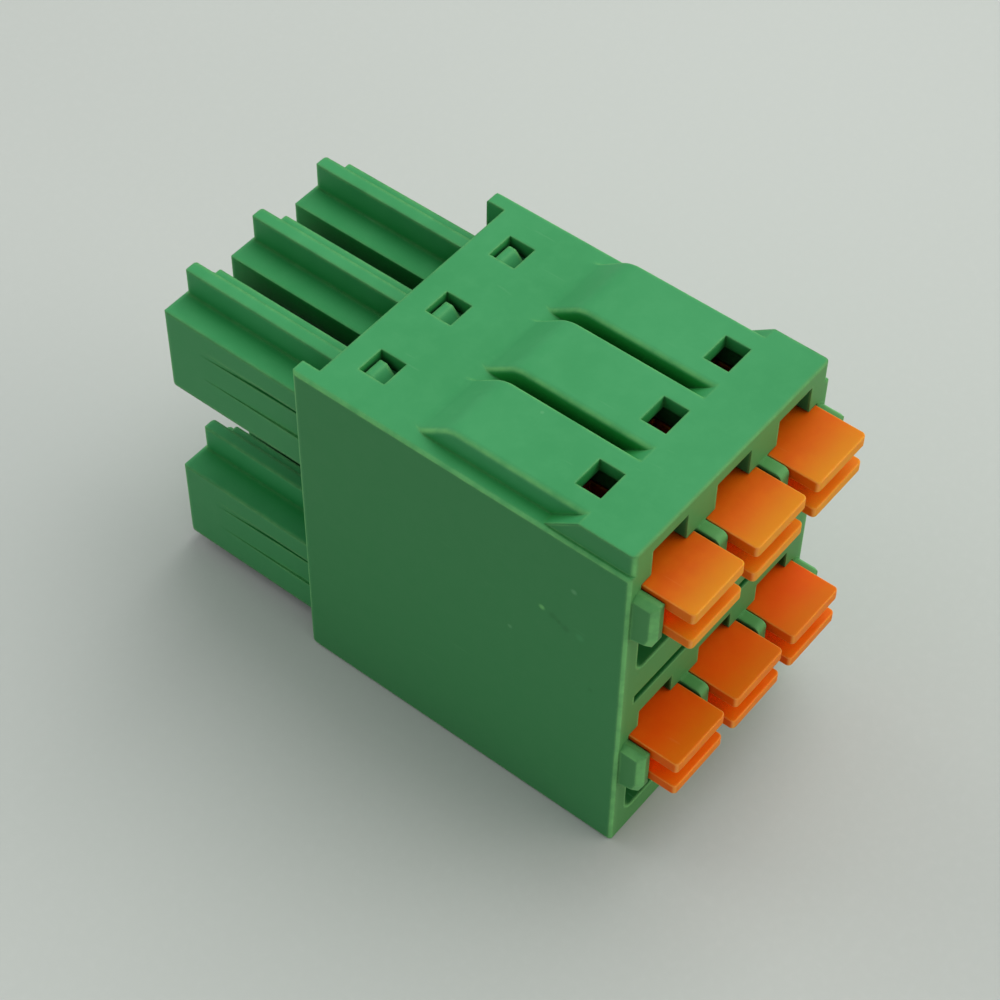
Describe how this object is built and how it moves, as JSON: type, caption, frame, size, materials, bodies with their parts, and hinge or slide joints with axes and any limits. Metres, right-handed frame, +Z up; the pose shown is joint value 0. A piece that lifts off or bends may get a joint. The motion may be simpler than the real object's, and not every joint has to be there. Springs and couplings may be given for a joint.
{
  "type": "pluggable terminal block",
  "caption": "Stacked pluggable terminal block: green moulded housing with slotted orange release buttons above wire funnels at the front and keyed plug noses at the back.",
  "frame": {"origin": "on the underside, at the centre of the outline seen from above, buttons included", "axes": "+X across the poles, +Y from the buttons at the front to the plug noses at the back, +Z up from the underside to the roof pads"},
  "size_m": [0.0112, 0.0234, 0.0162],
  "materials": {
    "housing_plastic": "satin moulded green",
    "carrier_plastic": "satin moulded green",
    "button_plastic": "satin moulded orange",
    "spring_steel": "rolled spring steel",
    "tinned_copper": "tinned copper alloy"
  },
  "bodies": {
    "block": {"housing": "housing_plastic", "upper_contact_carrier": "carrier_plastic", "lower_contact_carrier": "carrier_plastic", "clamp_spring_upper_1": "spring_steel", "clamp_spring_upper_2": "spring_steel", "clamp_spring_upper_3": "spring_steel", "clamp_spring_lower_1": "spring_steel", "clamp_spring_lower_2": "spring_steel", "clamp_spring_lower_3": "spring_steel", "contact_upper_1": "tinned_copper", "contact_upper_2": "tinned_copper", "contact_upper_3": "tinned_copper", "contact_lower_1": "tinned_copper", "contact_lower_2": "tinned_copper", "contact_lower_3": "tinned_copper"},
    "button_upper_1": {"push_button_upper_1": "button_plastic"},
    "button_upper_2": {"push_button_upper_2": "button_plastic"},
    "button_upper_3": {"push_button_upper_3": "button_plastic"},
    "button_lower_1": {"push_button_lower_1": "button_plastic"},
    "button_lower_2": {"push_button_lower_2": "button_plastic"},
    "button_lower_3": {"push_button_lower_3": "button_plastic"}
  },
  "joints": [
    {"name": "press_upper_1", "type": "slide", "parent": "block", "child": "button_upper_1", "axis": [0, 1, 0], "range_m": [0, 0.001], "stiffness_N_per_m": 2000, "springref_m": -0.0005, "deforming": ["clamp_spring_upper_1"]},
    {"name": "press_upper_2", "type": "slide", "parent": "block", "child": "button_upper_2", "axis": [0, 1, 0], "range_m": [0, 0.001], "stiffness_N_per_m": 2000, "springref_m": -0.0005, "deforming": ["clamp_spring_upper_2"]},
    {"name": "press_upper_3", "type": "slide", "parent": "block", "child": "button_upper_3", "axis": [0, 1, 0], "range_m": [0, 0.001], "stiffness_N_per_m": 2000, "springref_m": -0.0005, "deforming": ["clamp_spring_upper_3"]},
    {"name": "press_lower_1", "type": "slide", "parent": "block", "child": "button_lower_1", "axis": [0, 1, 0], "range_m": [0, 0.001], "stiffness_N_per_m": 2000, "springref_m": -0.0005, "deforming": ["clamp_spring_lower_1"]},
    {"name": "press_lower_2", "type": "slide", "parent": "block", "child": "button_lower_2", "axis": [0, 1, 0], "range_m": [0, 0.001], "stiffness_N_per_m": 2000, "springref_m": -0.0005, "deforming": ["clamp_spring_lower_2"]},
    {"name": "press_lower_3", "type": "slide", "parent": "block", "child": "button_lower_3", "axis": [0, 1, 0], "range_m": [0, 0.001], "stiffness_N_per_m": 2000, "springref_m": -0.0005, "deforming": ["clamp_spring_lower_3"]}
  ]
}
